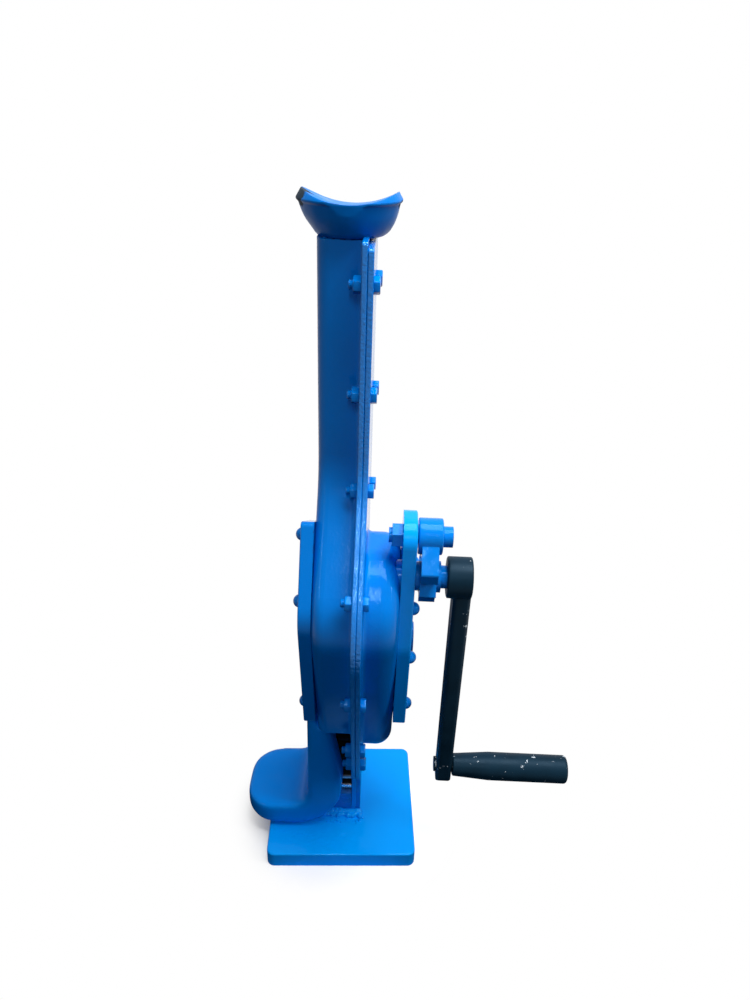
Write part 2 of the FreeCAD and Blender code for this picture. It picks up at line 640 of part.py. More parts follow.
# Toe: a forged claw low on the left, whose cheeks reach round the rack into the shell
def toe():
    shell_low = left_bottom - size.toe_fit
    tongue_right = left_out - size.toe_fit
    outline = rounded_wire([
        (size.toe_tip, toe_bottom, size.toe_nose), (size.toe_right, toe_bottom, size.toe_heel),
        (size.toe_right, toe_top + size.toe_waist, size.toe_shin), (size.toe_shank, shell_low, 0),
        (tongue_right, shell_low, 0), (tongue_right, toe_tongue_top, 0), (toe_left, toe_tongue_top, 0),
        (toe_left, toe_top, size.toe_crook), (size.toe_tip, toe_top - size.toe_fall, size.toe_nose)], front)
    face = Part.Face(outline)
    face.translate(Vector(0, -size.toe_half, 0))
    claw = face.extrude(Vector(0, 2 * size.toe_half, 0))
    soft = [e for e in claw.Edges if e.BoundBox.YLength < 1e-6 and e.BoundBox.ZMin < shell_low - 1]
    claw = claw.makeFillet(size.toe_edge, soft)
    plan = block(size.toe_tip, size.toe_right + 1, -size.toe_half, size.toe_half, 0, toe_tongue_top)
    tips = [e for e in plan.Edges
            if abs(e.BoundBox.XMax - size.toe_tip) < 1e-6 and e.BoundBox.YLength < 1e-6]
    claw = claw.common(plan.makeFillet(size.toe_corner, tips))
    cheek = block(left_in + size.toe_fit, size.toe_shank, -size.toe_half, -column_in,
                  shell_low - size.toe_cheek_lap, left_bottom + size.toe_cheek_rise)
    pocket = block(left_in, size.toe_right + 1, -column_in, column_in, 0, size.flange_top)
    return node("toe", feature("Toe", claw.fuse(cheek).cut(pocket).removeSplitter()))


# Shafts: stepped bars with their pinion cut on them
def crank_shaft():
    y, z = axis_crank
    pinion = feature("CrankPinion", gear_solid(size.first_module, size.first_pinion_teeth, 0, turn_crank,
                                               first_left, first_right, y, z))
    steps = [rod("crank_left", "crank_left_journal", "plate_left_out", "left_in", y, z),
             rod("crank_mid", "crank_left_journal - 1", "left_in", "right_in", y, z),
             rod("crank_right", "crank_journal", "right_in", "boss_left", y, z),
             rod("crank_collar", "crank_journal + 3", "plate_right_out + gear_gap / 4", "ratchet_left", y, z)]
    square = doc.addObject("Part::Box", "CrankSquare")
    bind(square, Length="boss_right - boss_left - end_deep", Width="square", Height="square")
    bind(square, Placement__Base__x="boss_left", Placement__Base__y=f"{y} - square / 2",
         Placement__Base__z=f"{z} - square / 2")
    hole = rod("crank_end_hole", "end_bolt", "boss_right - end_deep - end_bolt_length", "boss_right", y, z)
    return node("crank_shaft", cut("CrankShaft", fuse("CrankShaftBar", [pinion, square] + steps), hole))


def crank_end_bolt():
    y, z = axis_crank
    seat = "boss_right - end_deep"
    head = hexagon("end_bolt_head", "end_flats", f"{seat} + end_washer",
                   f"{seat} + end_washer + end_head", y, z)
    washer = rod("end_bolt_washer", "end_bore - end_washer / 4", seat, f"{seat} + end_washer", y, z)
    shank = rod("end_bolt_shank", "end_bolt", f"{seat} - end_bolt_length", seat, y, z)
    return node("crank_end_bolt", fuse("CrankEndBolt", [head, washer, shank]))


def ratchet_wheel():
    y, z = axis_crank
    count = size.ratchet_teeth
    points = []
    for i in range(count):
        turn = 2 * math.pi * i / count + math.radians(200)
        points.append(Vector(0, size.ratchet_tip * math.cos(turn), size.ratchet_tip * math.sin(turn)))
        points.append(Vector(0, size.ratchet_root * math.cos(turn), size.ratchet_root * math.sin(turn)))
    face = Part.Face(Part.makePolygon(points + points[:1]))
    face.translate(Vector(size.ratchet_left, y, z))
    wheel = feature("RatchetTeeth", face.extrude(Vector(size.ratchet_face, 0, 0)))
    collar = rod("ratchet_collar", "ratchet_hub", "ratchet_left + ratchet_face",
                 "ratchet_left + ratchet_face + ratchet_hub_length", y, z)
    hole = rod("ratchet_hole", "crank_journal", "ratchet_left", "boss_left", y, z)
    return node("ratchet_wheel", cut("RatchetWheel", fuse("RatchetBlank", [wheel, collar]), hole))


def crank_arm():
    y, z = axis_crank
    low = grip_axis_z
    top, end = size.arm_top / 2, size.arm_low / 2
    soft = size.arm_tail_round
    bar = side_slab([(y - end, low - size.arm_tail, soft), (y + end, low - size.arm_tail, soft),
                     (y + top, z, 0), (y - top, z, 0)], size.boss_right - size.arm_thick, size.boss_right)
    long_edges = [e for e in bar.Edges if e.BoundBox.ZLength > size.crank_radius / 2]
    bar = bar.makeChamfer(size.arm_chamfer, long_edges)
    boss = cylinder_x(size.boss_radius, size.boss_left, size.boss_right, y, z)
    boss = boss.makeFillet(size.boss_edge, [e for e in boss.Edges if e.BoundBox.XLength < 1e-6])
    reach = size.square / 2 + size.square_gap
    hole = block(size.boss_left - 1, size.boss_right + 1, y - reach, y + reach, z - reach, z + reach)
    seat = cylinder_x(size.end_bore, size.boss_right - size.end_deep, size.boss_right + 1, y, z)
    pin = cylinder_x(size.pin_radius, size.boss_left, size.boss_right + 1, y, low)
    return node("crank_arm", feature("CrankArm", bar.fuse(boss).cut([hole, seat, pin]).removeSplitter()))


def grip():
    y, z = size.crank_axis_y, grip_axis_z
    start = size.boss_right + size.grip_gap
    end = start + size.grip_length
    lead, soft = size.grip_lead, size.grip_round
    outline = [Vector(start, 0, size.grip_neck - lead), Vector(start + lead, 0, size.grip_neck),
               Vector(start + size.grip_taper, 0, size.grip_radius), Vector(end - soft, 0, size.grip_radius)]
    bite = soft * (1 - math.sqrt(0.5))
    crown = Part.Arc(outline[-1], Vector(end - bite, 0, size.grip_radius - bite),
                     Vector(end, 0, size.grip_radius - soft)).toShape()
    runs = [Part.LineSegment(a, b).toShape() for a, b in zip(outline, outline[1:])]
    tail = [Vector(end, 0, size.grip_radius - soft), Vector(end, 0, 0), Vector(start, 0, 0), outline[0]]
    closing = [Part.LineSegment(a, b).toShape() for a, b in zip(tail, tail[1:])]
    body = Part.Face(Part.Wire(runs + [crown] + closing)).revolve(Vector(0, 0, 0), Vector(1, 0, 0), 360)
    body.translate(Vector(0, y, z))
    hole = cylinder_x(size.grip_bore, start - 1, end + 1, y, z)
    seat = cylinder_x(size.pin_head + size.grip_seat_gap, end - size.pin_head_height - size.grip_seat_gap,
                      end + 1, y, z)
    return node("grip", feature("Grip", body.cut([hole, seat])))


def grip_pin():
    y, z = "crank_axis_y", "grip_axis_z"
    tail = "boss_right - arm_thick"
    tip = "boss_right + grip_gap + grip_length"
    return node("grip_pin", fuse("GripPin", [
        rod("pin_rod", "pin_radius", tail, f"{tip} - pin_head_height", y, z),
        rod("pin_cap", "pin_head", f"{tip} - pin_head_height", tip, y, z),
        rod("pin_tail", "pin_rivet", f"{tail} - pin_rivet_height", tail, y, z)]))


def intermediate_shaft():
    y, z = axis_inter
    pinion = feature("InterPinion", gear_solid(size.second_module, size.second_pinion_teeth, 0,
                                               turn_inter_pinion, second_left, second_right, y, z))
    steps = [rod("inter_left", "inter_journal", "plate_left_out", "left_in", y, z),
             rod("inter_mid", "shaft_mid + 1", "left_in", "first_right + 0.5", y, z),
             rod("inter_right", "inter_journal", "first_right", "plate_right_out", y, z)]
    return node("intermediate_shaft", fuse("IntermediateShaft", [pinion] + steps))


def gear_wheel(label, module, teeth, turn, start, end, axis, bore):
    wheel = gear_solid(module, teeth, 0, turn, start, end, *axis)
    hole = cylinder_x(bore, start - 1, end + 1, *axis)
    return node(label, feature(label.title(), wheel.cut(hole)))


def rack_pinion_shaft():
    y, z = axis_pinion
    pinion = feature("RackPinion", gear_solid(size.rack_module, size.rack_pinion_teeth, size.rack_shift,
                                              turn_rack_pinion, left_in + 1, size.rack_right - 0.5, y, z))
    steps = [rod("pinion_left", "pinion_journal", "plate_left_out", "left_in", y, z),
             rod("pinion_mid", "pinion_journal - 1", "left_in", "second_left", y, z),
             rod("pinion_seat", "pinion_journal", "second_left", "plate_right_out + pinion_bush_out", y, z),
             rod("pinion_collar", "pinion_journal + 3", "second_right", "right_in - gear_gap", y, z)]
    return node("rack_pinion_shaft", fuse("RackPinionShaft", [pinion] + steps))


# Pawl: a round hub on its bolt with a finger that hooks the ratchet from the front
def pawl():
    y, z = size.pawl_axis_y, pawl_axis_z
    hub = cylinder_x(size.pawl_hub, size.pawl_left, size.pawl_right, y, z)
    hub = hub.makeFillet(size.pawl_edge, [e for e in hub.Edges if e.BoundBox.XLength < 1e-6])
    arm = side_slab([(y - size.pawl_hub + size.pawl_clear, z, 0),
                     (y - size.finger_front, z - size.finger_top, 3),
                     (y - size.hook_front, z - size.hook_low, 2), (y - size.hook_back, z - size.hook_low, 1),
                     (y + size.finger_back, z - size.finger_root, 0)],
                    size.ratchet_left, size.ratchet_left + size.ratchet_face)
    swing = cylinder_x(size.ratchet_tip + size.pawl_clear, size.pawl_left, size.pawl_right, *axis_crank)
    hole = cylinder_x(size.pawl_bolt + size.running_gap, size.pawl_left - 1, size.pawl_right + 1, y, z)
    return node("pawl", feature("Pawl", hub.fuse(arm).cut([swing, hole]).removeSplitter()))


def pawl_bolt():
    y, z = "pawl_axis_y", "pawl_axis_z"
    shank = rod("pawl_bolt_shank", "pawl_bolt", "case_out - pawl_nut_height - 3", "pawl_right + 0.5", y, z)
    cap = rod("pawl_bolt_cap", "pawl_head", "pawl_right + 0.5", "pawl_right + 0.5 + pawl_head_height", y, z)
    node("pawl_bolt", fuse("PawlBolt", [shank, cap]))
    nut = hexagon("pawl_nut_body", "pawl_nut_flats", "case_out - pawl_nut_height", "case_out", y, z)
    hole = rod("pawl_nut_hole", "pawl_bolt", "case_out - pawl_nut_height", "case_out", y, z)
    node("pawl_nut", cut("PawlNut", nut, hole))
    ring = rod("pawl_spacer_ring", "pawl_bolt + pawl_spacer", "plate_right_out", "pawl_left - 0.1", y, z)
    bore = rod("pawl_spacer_bore", "pawl_bolt", "plate_right_out", "pawl_left - 0.1", y, z)
    node("pawl_spacer", cut("PawlSpacer", ring, bore))


base_plate()
rack()
foot_weld()
left_shell()
right_shell()
left_bearing_plate()
right_bearing_plate()
rivets("left_plate_rivets", LEFT_RIVETS, "plate_left_out", "left_in", -1)
rivets("right_plate_rivets", RIGHT_RIVETS, "plate_right_out", "right_in", 1)
bushes("left_bushes", [
    ("crank_left_bush", "crank_left_journal", "plate_left_out", "left_in", *axis_crank),
    ("inter_left_bush", "inter_journal", "plate_left_out", "left_in", *axis_inter),
    ("pinion_left_bush", "pinion_journal", "plate_left_out", "left_in", *axis_pinion)])
bushes("right_bushes", [
    ("crank_right_bush", "crank_journal", "right_in", "plate_right_out", *axis_crank),
    ("inter_right_bush", "inter_journal", "right_in", "plate_right_out", *axis_inter),
    ("pinion_right_bush", "pinion_journal", "right_in", "plate_right_out + pinion_bush_out", *axis_pinion)])
flange_bolts()
guide_strip()
head()
toe()
crank_shaft()
crank_end_bolt()
ratchet_wheel()
crank_arm()
grip()
grip_pin()
intermediate_shaft()
gear_wheel("intermediate_gear", size.first_module, size.first_gear_teeth, turn_inter_gear,
           first_left, first_right, axis_inter, size.shaft_mid + 1)
rack_pinion_shaft()
gear_wheel("main_gear", size.second_module, size.second_gear_teeth, turn_main,
           second_left, second_right, axis_pinion, size.pinion_journal)
pawl()
pawl_bolt()
doc.recompute()

# Nothing is written unless every object is sound
for obj in doc.Objects:
    if "Invalid" in obj.State or "Error" in obj.State:
        raise RuntimeError(f"{obj.Name} failed: {obj.State}")
os.makedirs("parts", exist_ok=True)
for label, obj in nodes.items():
    if obj.Shape.isNull() or not obj.Shape.isValid():
        raise RuntimeError(f"{label} has no sound shape")
for label, obj in nodes.items():
    obj.Shape.exportStep(f"parts/{label}.step")
    print(label, len(obj.Shape.Solids), round(obj.Shape.Volume))
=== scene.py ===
import math
import random

import bmesh
import bpy
from mathutils import Matrix, Vector


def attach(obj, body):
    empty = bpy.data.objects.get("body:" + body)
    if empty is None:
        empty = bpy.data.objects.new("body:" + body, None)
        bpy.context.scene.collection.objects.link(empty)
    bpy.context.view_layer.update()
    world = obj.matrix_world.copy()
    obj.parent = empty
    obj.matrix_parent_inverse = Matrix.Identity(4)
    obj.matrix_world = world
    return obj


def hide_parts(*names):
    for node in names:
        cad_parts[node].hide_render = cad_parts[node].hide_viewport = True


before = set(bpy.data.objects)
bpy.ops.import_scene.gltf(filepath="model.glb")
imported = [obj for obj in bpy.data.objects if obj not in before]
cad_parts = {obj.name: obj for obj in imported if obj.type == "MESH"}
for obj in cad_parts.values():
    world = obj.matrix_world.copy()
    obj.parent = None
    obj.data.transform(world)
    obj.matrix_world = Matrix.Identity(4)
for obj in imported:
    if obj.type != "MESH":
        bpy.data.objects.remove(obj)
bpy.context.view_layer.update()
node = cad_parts

# Studio: a large softbox overhead, narrow strips in front and at the sides for the glints, a dim surround.
# Floor and surround are white to the camera and in mirrors. Close to the jack the paper floor keeps its
# shadow, and in mirrors its own dark colour, because a white one there turns the enamel milky.
MM = 0.001


def linear(hex_colour):
    """sRGB hex to the linear RGBA that Blender's sockets take."""
    parts = [int(hex_colour[i:i + 2], 16) / 255 for i in (1, 3, 5)]
    return [c / 12.92 if c <= 0.04045 else ((c + 0.055) / 1.055) ** 2.4 for c in parts] + [1.0]


def add_node(tree, kind, settings={}, **inputs):
    """Add a shader node; settings are its own properties, inputs are values or sockets to link."""
    made = tree.nodes.new("ShaderNode" + kind)
    for name, value in settings.items():
        setattr(made, name, value)
    for name, value in inputs.items():
        socket = made.inputs[int(name[1:])] if name[0] == "_" else made.inputs[name.replace("_", " ")]
        if isinstance(value, bpy.types.NodeSocket):
            tree.links.new(value, socket)
        else:
            socket.default_value = value
    return made


def new_material(name):
    made = bpy.data.materials.new(name)
    made.use_nodes = True
    made.node_tree.nodes.clear()
    return made, made.node_tree


def deselect_all():
    if bpy.context.object and bpy.context.object.mode != "OBJECT":
        bpy.ops.object.mode_set(mode="OBJECT")
    bpy.ops.object.select_all(action="DESELECT")


scene = bpy.context.scene
scene.view_settings.view_transform = "Standard"

world = bpy.data.worlds.new("studio_surround")
scene.world = world
world.use_nodes = True
sky = world.node_tree
sky.nodes.clear()
rays = add_node(sky, "LightPath")
through = add_node(sky, "Math", {"operation": "MAXIMUM"}, _0=rays.outputs["Is Glossy Ray"],
                   _1=rays.outputs["Is Transmission Ray"])
seen = add_node(sky, "Math", {"operation": "MAXIMUM"}, _0=rays.outputs["Is Camera Ray"],
                _1=through.outputs[0])
dim = add_node(sky, "Background", Color=linear("#A8C8F0"), Strength=0.03)
white = add_node(sky, "Background", Color=(1, 1, 1, 1), Strength=1.0)
shown = add_node(sky, "MixShader", _0=seen.outputs[0], _1=dim.outputs[0], _2=white.outputs[0])
add_node(sky, "OutputWorld", Surface=shown.outputs[0])

MIRROR_WHITE = (0.35, 0.60)  # distances from the jack's middle over which the floor changes, in metres
SHADOW_ENDS = (0.08, 0.145)
BLUE_BOUNCE_ENDS = (0.10, 0.13)
deselect_all()
bpy.ops.mesh.primitive_plane_add(size=14.0, location=(0, 0, 0))
floor = bpy.context.object
floor.name = "studio_floor"
floor_paper, tree = new_material("studio_paper")
rays = add_node(tree, "LightPath")
where = add_node(tree, "TexCoord")
away = add_node(tree, "VectorMath", {"operation": "LENGTH"}, _0=where.outputs["Object"])
far = add_node(tree, "MapRange", Value=away.outputs["Value"], From_Min=MIRROR_WHITE[0],
               From_Max=MIRROR_WHITE[1])
mirrored = add_node(tree, "Math", {"operation": "MULTIPLY"}, _0=rays.outputs["Is Glossy Ray"],
                    _1=far.outputs[0])
through = add_node(tree, "Math", {"operation": "MAXIMUM"}, _0=mirrored.outputs[0],
                   _1=rays.outputs["Is Transmission Ray"])
seen = add_node(tree, "Math", {"operation": "MAXIMUM"}, _0=rays.outputs["Is Camera Ray"],
                _1=through.outputs[0])
paper = add_node(tree, "BsdfDiffuse", Color=linear("#FAFAFA"))
lit = add_node(tree, "Emission", Color=(1, 1, 1, 1), Strength=1.0)
fade = add_node(tree, "MapRange", {"interpolation_type": "SMOOTHSTEP"}, Value=away.outputs["Value"],
                From_Min=SHADOW_ENDS[0], From_Max=SHADOW_ENDS[1])
close = add_node(tree, "MapRange", Value=away.outputs["Value"], From_Min=BLUE_BOUNCE_ENDS[0],
                 From_Max=BLUE_BOUNCE_ENDS[1])
sheet = add_node(tree, "Mix", {"data_type": "RGBA"}, Factor=close.outputs[0], _6=linear("#62A4DC"),
                 _7=linear("#0E2236"))
bounce = add_node(tree, "BsdfDiffuse", Color=sheet.outputs[2])
ground = add_node(tree, "MixShader", _0=fade.outputs[0], _1=paper.outputs[0], _2=lit.outputs[0])
both = add_node(tree, "MixShader", _0=seen.outputs[0], _1=bounce.outputs[0], _2=ground.outputs[0])
add_node(tree, "OutputMaterial", Surface=both.outputs[0])
floor.data.materials.append(floor_paper)

SOFTBOXES = {
    # name: (place, aim, width, height, watts), in metres
    "softbox_over": ((0.45, -0.12, 2.2), (0.03, -0.02, 0.2), 1.2, 1.2, 66.0),
    "softbox_front": ((0.03, -1.75, 1.78), (0.0, 0.0, 0.4), 0.022, 0.55, 8.5),
    "softbox_left": ((-1.5, -1.1, 1.3), (0.0, 0.0, 0.4), 0.015, 0.6, 3.2),
    "softbox_right": ((1.5, -0.5, 1.3), (0.0, 0.0, 0.4), 0.03, 1.0, 8.5),
}
for name, (place, aim, wide, high, watts) in SOFTBOXES.items():
    deselect_all()
    bpy.ops.object.light_add(type="AREA", location=place)
    lamp = bpy.context.object
    lamp.name = name
    lamp.data.shape = "RECTANGLE"
    lamp.data.size, lamp.data.size_y = wide, high
    lamp.data.energy = watts
    lamp.rotation_euler = (Vector(aim) - Vector(place)).to_track_quat("-Z", "Y").to_euler()

# Camera: where the photographer stood, solved from the jack's own edges. It looks down
# from just above the head, close enough that the base plate is seen well from above.
deselect_all()
bpy.ops.object.camera_add(location=(0.038853, -0.637987, 0.796805))
camera = bpy.context.object
camera.name = "photo_camera"
right = Vector((0.99906212, 0.03175072, 0.02944089))
up = Vector((-0.04101082, 0.47571694, 0.87864185))
camera.rotation_euler = Matrix((right, up, right.cross(up))).transposed().to_euler()
camera.data.sensor_fit = "VERTICAL"
camera.data.sensor_height = 24.0
camera.data.lens = 0.7335 * camera.data.sensor_height
camera.data.clip_start = 0.01
scene.camera = camera

# Base plate: a thick flame-cut steel plate, sprayed with the same blue gloss enamel as the jack, though its
# blue is mixed lighter than the housing's as painted light.
# The enamel is thick: an even blue with an orange peel that breaks up its highlights (about 1 mm in
# truth, drawn coarser to show), broad sags, and a few chips to dark steel where an edge was knocked.
BLUE = "#0078D4"
BLUE_DEEP = "#006EC6"
# lighter blues for the base plate, weld, guide strip and right bearing plate: painted light
PAINTED_LIGHT_BLUES = ("#008CE8", "#0098F6")
CHIP = "#26303A"
ENAMEL_LEVEL, SHEARED_LEVEL = 0.15, 1.0


def blue_enamel(name, peel_mm=2.4, peel=0.10, swell_mm=30.0, swell=0.25, chips=0.62, edge_mm=1.0, worn=(),
                blue=(BLUE_DEEP, BLUE), sheared=None, gloss=(0.06, 0.13)):
    """Gloss enamel over steel; peel is its orange peel, swell the waves of the steel under it, worn
    a list of (place, reach) in millimetres where it is rubbed down to the steel, sheared the middle
    and half width in X of rough sheared edges and the depth of their grain."""
    made, tree = new_material(name)
    where = add_node(tree, "TexCoord").outputs["Object"]
    cloud = add_node(tree, "TexNoise", Vector=where, Scale=1 / (90 * MM), Detail=2.0).outputs["Fac"]
    tone = add_node(tree, "Mix", {"data_type": "RGBA"}, Factor=cloud, _6=linear(blue[0]), _7=linear(blue[1]))
    # an edge is where the normal of the rounded edge leaves the face's own
    soft = add_node(tree, "Bevel", {"samples": 4}, Radius=edge_mm * MM)
    flat = add_node(tree, "NewGeometry")
    along = add_node(tree, "VectorMath", {"operation": "DOT_PRODUCT"}, _0=soft.outputs[0],
                     _1=flat.outputs["Normal"])
    edge = add_node(tree, "MapRange", Value=along.outputs["Value"], From_Min=0.98, From_Max=0.85)
    knocks = add_node(tree, "TexNoise", Vector=where, Scale=1 / (6 * MM), Detail=5.0).outputs["Fac"]
    rare = add_node(tree, "TexNoise", Vector=where, Scale=1 / (45 * MM), Detail=1.0).outputs["Fac"]
    both = add_node(tree, "Math", {"operation": "MULTIPLY_ADD"}, _0=rare, _1=0.35, _2=knocks)
    knock = add_node(tree, "MapRange", Value=both.outputs[0], From_Min=chips + 0.16, From_Max=chips + 0.19)
    chip = add_node(tree, "Math", {"operation": "MULTIPLY"}, _0=knock.outputs[0], _1=edge.outputs[0])
    for place, reach in worn:
        away = add_node(tree, "VectorMath", {"operation": "DISTANCE"}, _0=where, _1=Vector(place) * MM)
        ragged = add_node(tree, "Math", {"operation": "MULTIPLY_ADD"}, _0=knocks, _1=reach * MM,
                          _2=away.outputs["Value"])
        rubbed = add_node(tree, "MapRange", Value=ragged.outputs[0], From_Min=1.5 * reach * MM,
                          From_Max=1.3 * reach * MM)
        chip = add_node(tree, "Math", {"operation": "MAXIMUM"}, _0=chip.outputs[0], _1=rubbed.outputs[0])
    colour = add_node(tree, "Mix", {"data_type": "RGBA"}, Factor=chip.outputs[0], _6=tone.outputs[2],
                      _7=linear(CHIP))
    grain = add_node(tree, "TexNoise", Vector=where, Scale=1 / (peel_mm * MM), Detail=1.0).outputs["Fac"]
    sag = add_node(tree, "TexNoise", Vector=where, Scale=1 / (swell_mm * MM), Detail=1.0).outputs["Fac"]
    sheen = add_node(tree, "MapRange", {"interpolation_type": "SMOOTHERSTEP"}, Value=sag, From_Min=0.1,
                     From_Max=0.9, To_Min=gloss[0], To_Max=gloss[1])
    dull = add_node(tree, "Math", {"operation": "MULTIPLY_ADD"}, _0=chip.outputs[0], _1=0.35,
                    _2=sheen.outputs[0])
    wave = add_node(tree, "Bump", Strength=swell, Distance=1.0 * MM, Height=sag, Normal=soft.outputs[0])
    skin = add_node(tree, "Bump", Strength=peel, Distance=0.5 * MM, Height=grain, Normal=wave.outputs[0])
    level = ENAMEL_LEVEL
    if sheared:
        middle, half, depth = sheared
        across = add_node(tree, "SeparateXYZ", Vector=where)
        band = add_node(tree, "Math", {"operation": "COMPARE"}, _0=across.outputs["X"], _1=middle * MM,
                        _2=half * MM)
        facing = add_node(tree, "SeparateXYZ", Vector=flat.outputs["Normal"])
        edgewise = add_node(tree, "Math", {"operation": "COMPARE"}, _0=facing.outputs["X"], _1=0.0, _2=0.5)
        cut = add_node(tree, "Math", {"operation": "MULTIPLY"}, _0=band.outputs[0], _1=edgewise.outputs[0])
        torn = add_node(tree, "TexNoise", Vector=where, Scale=1 / (3.4 * MM), Detail=2.0).outputs["Fac"]
        strength = add_node(tree, "MapRange", Value=cut.outputs[0], To_Min=0.0, To_Max=0.8)
        skin = add_node(tree, "Bump", Strength=strength.outputs[0], Distance=depth * MM, Height=torn,
                        Normal=skin.outputs[0])
        level = add_node(tree, "MapRange", Value=cut.outputs[0], To_Min=ENAMEL_LEVEL,
                         To_Max=SHEARED_LEVEL).outputs[0]
    shader = add_node(tree, "BsdfPrincipled", Base_Color=colour.outputs[2], Roughness=dull.outputs[0],
                      IOR=1.5, Specular_IOR_Level=level, Specular_Tint=linear("#98CCFF"),
                      Normal=skin.outputs[0])
    add_node(tree, "OutputMaterial", Surface=shader.outputs[0])
    return made


def dress(material, *names):
    """Give CAD nodes whose shape is right a finish."""
    for name in names:
        node[name].data.materials.clear()
        node[name].data.materials.append(material)


painted_light_plate_enamel = blue_enamel("blue_enamel_painted_lighter_on_flame_cut_plate", peel_mm=3.0, swell_mm=40.0, swell=0.18,
                           blue=PAINTED_LIGHT_BLUES)
dress(painted_light_plate_enamel, "base_plate")

# Rack: a square steel bar with milled teeth, left bare and greased. Its steel is near black all over,
# grease and also painted shade for its place in the housing's shadow; low down the lands are wiped
# bright, and the foot caught the paint of the base plate.
greased_shade_darkened_steel, tree = new_material("greased_shade_darkened_milled_steel")
where = add_node(tree, "TexCoord").outputs["Object"]
apart = add_node(tree, "SeparateXYZ", Vector=where)
land = add_node(tree, "MapRange", Value=apart.outputs["Y"], From_Min=-18.2 * MM, From_Max=-19.4 * MM)
smear = add_node(tree, "TexNoise", Vector=where, Scale=1 / (16 * MM), Detail=4.0).outputs["Fac"]
low = add_node(tree, "MapRange", Value=apart.outputs["Z"], From_Min=84 * MM, From_Max=76 * MM)
wiped = add_node(tree, "MapRange", Value=smear, From_Min=0.38, From_Max=0.5)
clean = add_node(tree, "Math", {"operation": "MULTIPLY"}, _0=low.outputs[0], _1=wiped.outputs[0])
bright = add_node(tree, "Math", {"operation": "MULTIPLY"}, _0=land.outputs[0], _1=clean.outputs[0])
# near-black steel except the bright lands: grease, and painted shade for the housing's shadow
steel = add_node(tree, "Mix", {"data_type": "RGBA"}, Factor=bright.outputs[0], _6=linear("#101318"),
                 _7=linear("#D5DADF"))
ragged = add_node(tree, "Math", {"operation": "MULTIPLY_ADD"}, _0=smear, _1=14 * MM, _2=apart.outputs["Z"])
paint = add_node(tree, "MapRange", Value=ragged.outputs[0], From_Min=64 * MM, From_Max=61 * MM)
colour = add_node(tree, "Mix", {"data_type": "RGBA"}, Factor=paint.outputs[0], _6=steel.outputs[2],
                  _7=linear(BLUE_DEEP))
metal = add_node(tree, "MapRange", Value=paint.outputs[0], To_Min=0.9, To_Max=0.0)
rough = add_node(tree, "MapRange", Value=bright.outputs[0], To_Min=0.42, To_Max=0.24)
mill = add_node(tree, "TexWave", {"bands_direction": "X"}, Vector=where, Scale=1 / (8 * MM), Distortion=1.0)
lines = add_node(tree, "Bump", Strength=0.15, Distance=0.1 * MM, Height=mill.outputs["Fac"])
shader = add_node(tree, "BsdfPrincipled", Base_Color=colour.outputs[2], Roughness=rough.outputs[0],
                  Metallic=metal.outputs[0], Normal=lines.outputs[0])
add_node(tree, "OutputMaterial", Surface=shader.outputs[0])
dress(greased_shade_darkened_steel, "rack")

# Foot weld: a hand-laid fillet weld round the foot of the rack, painted over. It was laid drop by
# drop, so the bead is a row of overlapping drops of uneven size, with a little spatter beside it.
def settle():
    """Put the active object's place into its mesh, so that the object itself stays at the origin."""
    bpy.ops.object.transform_apply(location=True, rotation=True, scale=True)
    return bpy.context.object


def take(piece):
    """Make a piece the active one, and the only one selected."""
    deselect_all()
    bpy.context.view_layer.objects.active = piece
    piece.select_set(True)


def edit(piece):
    take(piece)
    bpy.ops.object.mode_set(mode="EDIT")


def apply_step(piece, kind, **settings):
    """Add a modifier and apply it."""
    take(piece)
    step = piece.modifiers.new(kind.lower(), kind)
    for name, value in settings.items():
        setattr(step, name, value)
    bpy.ops.object.modifier_apply(modifier=step.name)


def finish_piece(piece, name, material, body, slot, *stands_for, angle=40):
    """Name a piece, shade it, give it its finish and tie it to the CAD."""
    take(piece)
    bpy.ops.object.shade_smooth_by_angle(angle=math.radians(angle))
    piece.name = name
    piece.data.materials.clear()
    piece.data.materials.append(material)
    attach(piece, body)
    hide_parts(*stands_for)


DROP, STEP = 3.9, 2.6
PLATE_TOP = 20.0
WELD_LEFT, WELD_FRONT, WELD_OUTER, WELD_BACK = -21.5, -21.8, -26.0, 21.5
CORNER = -22.0
drops = random.Random(11)
# (x, y, share of DROP): left side, front in two passes, back, spatter
bead = [(WELD_LEFT, CORNER + STEP * i, 1.0) for i in range(18)]
bead += [(CORNER + STEP * i, WELD_FRONT, 1.05) for i in range(18)]
bead += [(-20 + 2.9 * i, WELD_OUTER + drops.uniform(-1.5, 1.5), 0.8) for i in range(16)]
bead += [(CORNER + STEP * i, WELD_BACK, 1.0) for i in range(13)]
bead += [(drops.uniform(-30, 28), drops.uniform(-37, -29), drops.uniform(0.2, 0.38)) for i in range(16)]
deselect_all()
for i, (x, y, share) in enumerate(bead):
    radius = DROP * share * drops.uniform(0.85, 1.1)
    place = Vector((x, y, PLATE_TOP + 0.25 * radius)) * MM
    bpy.ops.mesh.primitive_uv_sphere_add(segments=16, ring_count=10, radius=radius * MM, location=place)
    if i == 0:
        weld = settle()
        edit(weld)
    bpy.ops.transform.resize(value=(1.05, 1.05, drops.uniform(0.95, 1.3)), center_override=place)
bpy.ops.object.mode_set(mode="OBJECT")
apply_step(weld, "REMESH", mode="VOXEL", voxel_size=0.55 * MM)
apply_step(weld, "SMOOTH", factor=0.5, iterations=3)
edit(weld)
bpy.ops.mesh.select_all(action="SELECT")
bpy.ops.mesh.bisect(plane_co=(0, 0, (PLATE_TOP - 0.3) * MM), plane_no=(0, 0, 1), clear_inner=True,
                    use_fill=True)
bpy.ops.object.mode_set(mode="OBJECT")
# the weld takes the base plate's lighter blues: painted light
weld_enamel = blue_enamel("blue_enamel_painted_lighter_on_weld", peel_mm=1.2, peel=0.25, chips=0.9, blue=PAINTED_LIGHT_BLUES)
finish_piece(weld, "weld_bead", weld_enamel, "base", "blue_enamel", "foot_weld", angle=60)

